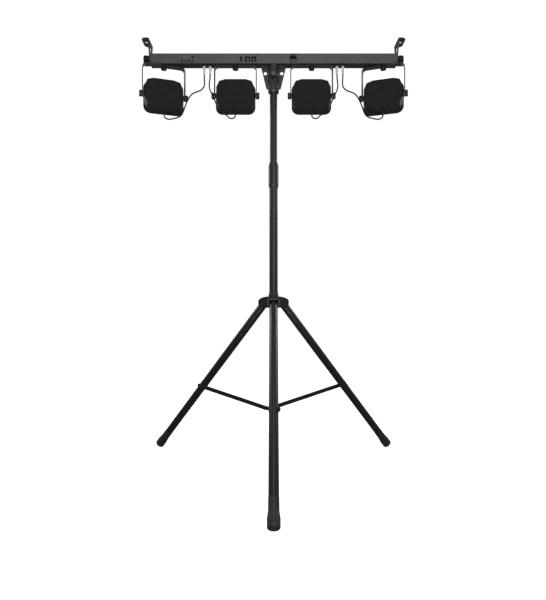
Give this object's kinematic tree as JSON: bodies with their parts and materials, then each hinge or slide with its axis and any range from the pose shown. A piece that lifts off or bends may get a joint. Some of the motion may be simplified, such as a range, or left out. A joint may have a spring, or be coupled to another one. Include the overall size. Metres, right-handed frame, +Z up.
{
  "type": "tripod stand with stage light bar",
  "caption": "Folding tripod stand whose telescopic mast carries a swivelling bar of yoke-mounted stage wash lamps, with a control panel and sockets in its back.",
  "frame": {"origin": "on the floor, under the middle of the whole object's box", "axes": "+Z up the mast, +X along the bar, +Y the way the lamps face; the sockets and buttons face -Y"},
  "size_m": [1.0516, 0.916, 1.6612],
  "materials": {
    "satin_black_paint": "satin black",
    "grey_bar_paint": "satin dark grey",
    "black_plastic": "matte black",
    "black_rubber": "matte black",
    "lamp_paint": "fine textured black",
    "lens_plastic": "dark gloss",
    "pale_plastic": "pale, semi-matte",
    "button_plastic": "dark, semi-matte"
  },
  "bodies": {
    "mast": {"mast_outer_tube": "satin_black_paint", "mast_collar": "satin_black_paint", "brace_collar": "satin_black_paint"},
    "collar_knob": {"collar_knob": "black_plastic"},
    "hub": {"leg_hub": "satin_black_paint"},
    "hub_knob": {"hub_knob": "black_plastic"},
    "leg_front": {"leg_front": "satin_black_paint", "foot_front": "black_rubber"},
    "brace_front": {"brace_front": "satin_black_paint"},
    "leg_right": {"leg_right": "satin_black_paint", "foot_right": "black_rubber"},
    "brace_right": {"brace_right": "satin_black_paint"},
    "leg_left": {"leg_left": "satin_black_paint", "foot_left": "black_rubber"},
    "brace_left": {"brace_left": "satin_black_paint"},
    "mast_inner": {"mast_inner_tube": "satin_black_paint"},
    "bar": {"mast_socket": "satin_black_paint", "bar_housing": "grey_bar_paint", "control_panel": "grey_bar_paint", "power_panel": "black_plastic", "signal_socket": "black_plastic", "cable_entry_left": "pale_plastic", "cable_entry_right": "pale_plastic", "lamp_1_cable": "black_rubber", "lamp_2_cable": "black_rubber", "lamp_3_cable": "black_rubber", "lamp_4_cable": "black_rubber"},
    "socket_knob": {"socket_knob": "black_plastic"},
    "menu_button_1": {"menu_button_1": "button_plastic"},
    "menu_button_2": {"menu_button_2": "button_plastic"},
    "menu_button_3": {"menu_button_3": "button_plastic"},
    "menu_button_4": {"menu_button_4": "button_plastic"},
    "bracket_left": {"bracket_left": "satin_black_paint"},
    "bracket_knob_left": {"bracket_knob_left": "black_plastic"},
    "bracket_right": {"bracket_right": "satin_black_paint"},
    "bracket_knob_right": {"bracket_knob_right": "black_plastic"},
    "lamp_1_yoke": {"lamp_1_yoke": "satin_black_paint"},
    "lamp_1_yoke_knob": {"lamp_1_yoke_knob": "black_plastic"},
    "lamp_1": {"lamp_1_shell": "lamp_paint", "lamp_1_lens": "lens_plastic"},
    "lamp_1_tilt_knob_left": {"lamp_1_tilt_knob_left": "black_plastic"},
    "lamp_1_tilt_knob_right": {"lamp_1_tilt_knob_right": "black_plastic"},
    "lamp_2_yoke": {"lamp_2_yoke": "satin_black_paint"},
    "lamp_2_yoke_knob": {"lamp_2_yoke_knob": "black_plastic"},
    "lamp_2": {"lamp_2_shell": "lamp_paint", "lamp_2_lens": "lens_plastic"},
    "lamp_2_tilt_knob_left": {"lamp_2_tilt_knob_left": "black_plastic"},
    "lamp_2_tilt_knob_right": {"lamp_2_tilt_knob_right": "black_plastic"},
    "lamp_3_yoke": {"lamp_3_yoke": "satin_black_paint"},
    "lamp_3_yoke_knob": {"lamp_3_yoke_knob": "black_plastic"},
    "lamp_3": {"lamp_3_shell": "lamp_paint", "lamp_3_lens": "lens_plastic"},
    "lamp_3_tilt_knob_left": {"lamp_3_tilt_knob_left": "black_plastic"},
    "lamp_3_tilt_knob_right": {"lamp_3_tilt_knob_right": "black_plastic"},
    "lamp_4_yoke": {"lamp_4_yoke": "satin_black_paint"},
    "lamp_4_yoke_knob": {"lamp_4_yoke_knob": "black_plastic"},
    "lamp_4": {"lamp_4_shell": "lamp_paint", "lamp_4_lens": "lens_plastic"},
    "lamp_4_tilt_knob_left": {"lamp_4_tilt_knob_left": "black_plastic"},
    "lamp_4_tilt_knob_right": {"lamp_4_tilt_knob_right": "black_plastic"}
  },
  "joints": [
    {"name": "collar_knob_turn", "type": "hinge", "parent": "mast", "child": "collar_knob", "pos_m": [0, 0.1719, 1.158], "axis": [0, 1, 0], "continuous": true},
    {"name": "hub_slide", "type": "slide", "parent": "mast", "child": "hub", "axis": [0, 0, 1], "range_m": [0, 0.3679]},
    {"name": "hub_knob_turn", "type": "hinge", "parent": "hub", "child": "hub_knob", "pos_m": [0, 0.1759, 0.645], "axis": [0, 1, 0], "continuous": true},
    {"name": "leg_front_fold", "type": "hinge", "parent": "hub", "child": "leg_front", "pos_m": [0, 0.1009, 0.6352], "axis": [1, 0, 0], "range_deg": [0, 38.2]},
    {"name": "brace_front_fold", "type": "hinge", "parent": "mast", "child": "brace_front", "pos_m": [0, 0.1159, 0.232], "axis": [1, 0, 0], "range_deg": [-72.2, 0]},
    {"name": "leg_right_fold", "type": "hinge", "parent": "hub", "child": "leg_right", "pos_m": [0.03897, 0.1684, 0.6352], "axis": [-0.5, 0.866, 0], "range_deg": [0, 38.2]},
    {"name": "brace_right_fold", "type": "hinge", "parent": "mast", "child": "brace_right", "pos_m": [0.02598, 0.1609, 0.232], "axis": [-0.5, 0.866, 0], "range_deg": [-72.2, 0]},
    {"name": "leg_left_fold", "type": "hinge", "parent": "hub", "child": "leg_left", "pos_m": [-0.03897, 0.1684, 0.6352], "axis": [-0.5, -0.866, 0], "range_deg": [0, 38.2]},
    {"name": "brace_left_fold", "type": "hinge", "parent": "mast", "child": "brace_left", "pos_m": [-0.02598, 0.1609, 0.232], "axis": [-0.5, -0.866, 0], "range_deg": [-72.2, 0]},
    {"name": "mast_height", "type": "slide", "parent": "mast", "child": "mast_inner", "axis": [0, 0, 1], "range_m": [-0.26, 0.45]},
    {"name": "bar_swivel", "type": "hinge", "parent": "mast_inner", "child": "bar", "pos_m": [0, 0.1459, 1.5], "axis": [0, 0, 1], "range_deg": [-90, 90]},
    {"name": "socket_knob_turn", "type": "hinge", "parent": "bar", "child": "socket_knob", "pos_m": [0, 0.1247, 1.52], "axis": [0, -1, 0], "continuous": true},
    {"name": "menu_button_1_press", "type": "slide", "parent": "bar", "child": "menu_button_1", "axis": [0, 1, 0], "range_m": [0, 0.001], "stiffness_N_per_m": 300},
    {"name": "menu_button_2_press", "type": "slide", "parent": "bar", "child": "menu_button_2", "axis": [0, 1, 0], "range_m": [0, 0.001], "stiffness_N_per_m": 300},
    {"name": "menu_button_3_press", "type": "slide", "parent": "bar", "child": "menu_button_3", "axis": [0, 1, 0], "range_m": [0, 0.001], "stiffness_N_per_m": 300},
    {"name": "menu_button_4_press", "type": "slide", "parent": "bar", "child": "menu_button_4", "axis": [0, 1, 0], "range_m": [0, 0.001], "stiffness_N_per_m": 300},
    {"name": "bracket_left_swing", "type": "hinge", "parent": "bar", "child": "bracket_left", "pos_m": [-0.4818, 0.1459, 1.58775], "axis": [1, 0, 0], "range_deg": [-70, 70]},
    {"name": "bracket_knob_left_turn", "type": "hinge", "parent": "bar", "child": "bracket_knob_left", "pos_m": [-0.4833, 0.1459, 1.58775], "axis": [-1, 0, 0], "continuous": true},
    {"name": "bracket_right_swing", "type": "hinge", "parent": "bar", "child": "bracket_right", "pos_m": [0.4818, 0.1459, 1.58775], "axis": [1, 0, 0], "range_deg": [-70, 70]},
    {"name": "bracket_knob_right_turn", "type": "hinge", "parent": "bar", "child": "bracket_knob_right", "pos_m": [0.4833, 0.1459, 1.58775], "axis": [1, 0, 0], "continuous": true},
    {"name": "lamp_1_pan", "type": "hinge", "parent": "bar", "child": "lamp_1_yoke", "pos_m": [-0.4293, 0.1459, 1.566], "axis": [0, 0, 1], "range_deg": [-45, 45], "deforming": ["lamp_1_cable"]},
    {"name": "lamp_1_yoke_knob_turn", "type": "hinge", "parent": "lamp_1_yoke", "child": "lamp_1_yoke_knob", "pos_m": [-0.4293, 0.1459, 1.5647], "axis": [0, 0, -1], "continuous": true},
    {"name": "lamp_1_tilt", "type": "hinge", "parent": "lamp_1_yoke", "child": "lamp_1", "pos_m": [-0.4293, 0.1459, 1.4507], "axis": [0.9511, 0.309, 0], "range_deg": [-60, 60], "deforming": ["lamp_1_cable"]},
    {"name": "lamp_1_tilt_knob_left_turn", "type": "hinge", "parent": "lamp_1", "child": "lamp_1_tilt_knob_left", "pos_m": [-0.50824, 0.12025, 1.4507], "axis": [-0.9511, -0.309, 0], "continuous": true},
    {"name": "lamp_1_tilt_knob_right_turn", "type": "hinge", "parent": "lamp_1", "child": "lamp_1_tilt_knob_right", "pos_m": [-0.35036, 0.17155, 1.4507], "axis": [0.9511, 0.309, 0], "continuous": true},
    {"name": "lamp_2_pan", "type": "hinge", "parent": "bar", "child": "lamp_2_yoke", "pos_m": [-0.1489, 0.1459, 1.566], "axis": [0, 0, 1], "range_deg": [-45, 45], "deforming": ["lamp_2_cable"]},
    {"name": "lamp_2_yoke_knob_turn", "type": "hinge", "parent": "lamp_2_yoke", "child": "lamp_2_yoke_knob", "pos_m": [-0.1489, 0.1459, 1.5647], "axis": [0, 0, -1], "continuous": true},
    {"name": "lamp_2_tilt", "type": "hinge", "parent": "lamp_2_yoke", "child": "lamp_2", "pos_m": [-0.1489, 0.1459, 1.4507], "axis": [1, 0, 0], "range_deg": [-60, 60], "deforming": ["lamp_2_cable"]},
    {"name": "lamp_2_tilt_knob_left_turn", "type": "hinge", "parent": "lamp_2", "child": "lamp_2_tilt_knob_left", "pos_m": [-0.2319, 0.1459, 1.4507], "axis": [-1, 0, 0], "continuous": true},
    {"name": "lamp_2_tilt_knob_right_turn", "type": "hinge", "parent": "lamp_2", "child": "lamp_2_tilt_knob_right", "pos_m": [-0.0659, 0.1459, 1.4507], "axis": [1, 0, 0], "continuous": true},
    {"name": "lamp_3_pan", "type": "hinge", "parent": "bar", "child": "lamp_3_yoke", "pos_m": [0.1489, 0.1459, 1.566], "axis": [0, 0, 1], "range_deg": [-45, 45], "deforming": ["lamp_3_cable"]},
    {"name": "lamp_3_yoke_knob_turn", "type": "hinge", "parent": "lamp_3_yoke", "child": "lamp_3_yoke_knob", "pos_m": [0.1489, 0.1459, 1.5647], "axis": [0, 0, -1], "continuous": true},
    {"name": "lamp_3_tilt", "type": "hinge", "parent": "lamp_3_yoke", "child": "lamp_3", "pos_m": [0.1489, 0.1459, 1.4507], "axis": [1, 0, 0], "range_deg": [-60, 60], "deforming": ["lamp_3_cable"]},
    {"name": "lamp_3_tilt_knob_left_turn", "type": "hinge", "parent": "lamp_3", "child": "lamp_3_tilt_knob_left", "pos_m": [0.0659, 0.1459, 1.4507], "axis": [-1, 0, 0], "continuous": true},
    {"name": "lamp_3_tilt_knob_right_turn", "type": "hinge", "parent": "lamp_3", "child": "lamp_3_tilt_knob_right", "pos_m": [0.2319, 0.1459, 1.4507], "axis": [1, 0, 0], "continuous": true},
    {"name": "lamp_4_pan", "type": "hinge", "parent": "bar", "child": "lamp_4_yoke", "pos_m": [0.4293, 0.1459, 1.566], "axis": [0, 0, 1], "range_deg": [-45, 45], "deforming": ["lamp_4_cable"]},
    {"name": "lamp_4_yoke_knob_turn", "type": "hinge", "parent": "lamp_4_yoke", "child": "lamp_4_yoke_knob", "pos_m": [0.4293, 0.1459, 1.5647], "axis": [0, 0, -1], "continuous": true},
    {"name": "lamp_4_tilt", "type": "hinge", "parent": "lamp_4_yoke", "child": "lamp_4", "pos_m": [0.4293, 0.1459, 1.4507], "axis": [0.9511, -0.309, 0], "range_deg": [-60, 60], "deforming": ["lamp_4_cable"]},
    {"name": "lamp_4_tilt_knob_left_turn", "type": "hinge", "parent": "lamp_4", "child": "lamp_4_tilt_knob_left", "pos_m": [0.35036, 0.17155, 1.4507], "axis": [-0.9511, 0.309, 0], "continuous": true},
    {"name": "lamp_4_tilt_knob_right_turn", "type": "hinge", "parent": "lamp_4", "child": "lamp_4_tilt_knob_right", "pos_m": [0.50824, 0.12025, 1.4507], "axis": [0.9511, -0.309, 0], "continuous": true}
  ],
  "couplings": [
    {"joint": "leg_front_fold", "follows": "hub_slide", "rad_per_m": 1.8074},
    {"joint": "brace_front_fold", "follows": "hub_slide", "rad_per_m": -3.4193},
    {"joint": "leg_right_fold", "follows": "hub_slide", "rad_per_m": 1.8074},
    {"joint": "brace_right_fold", "follows": "hub_slide", "rad_per_m": -3.4193},
    {"joint": "leg_left_fold", "follows": "hub_slide", "rad_per_m": 1.8074},
    {"joint": "brace_left_fold", "follows": "hub_slide", "rad_per_m": -3.4193}
  ]
}
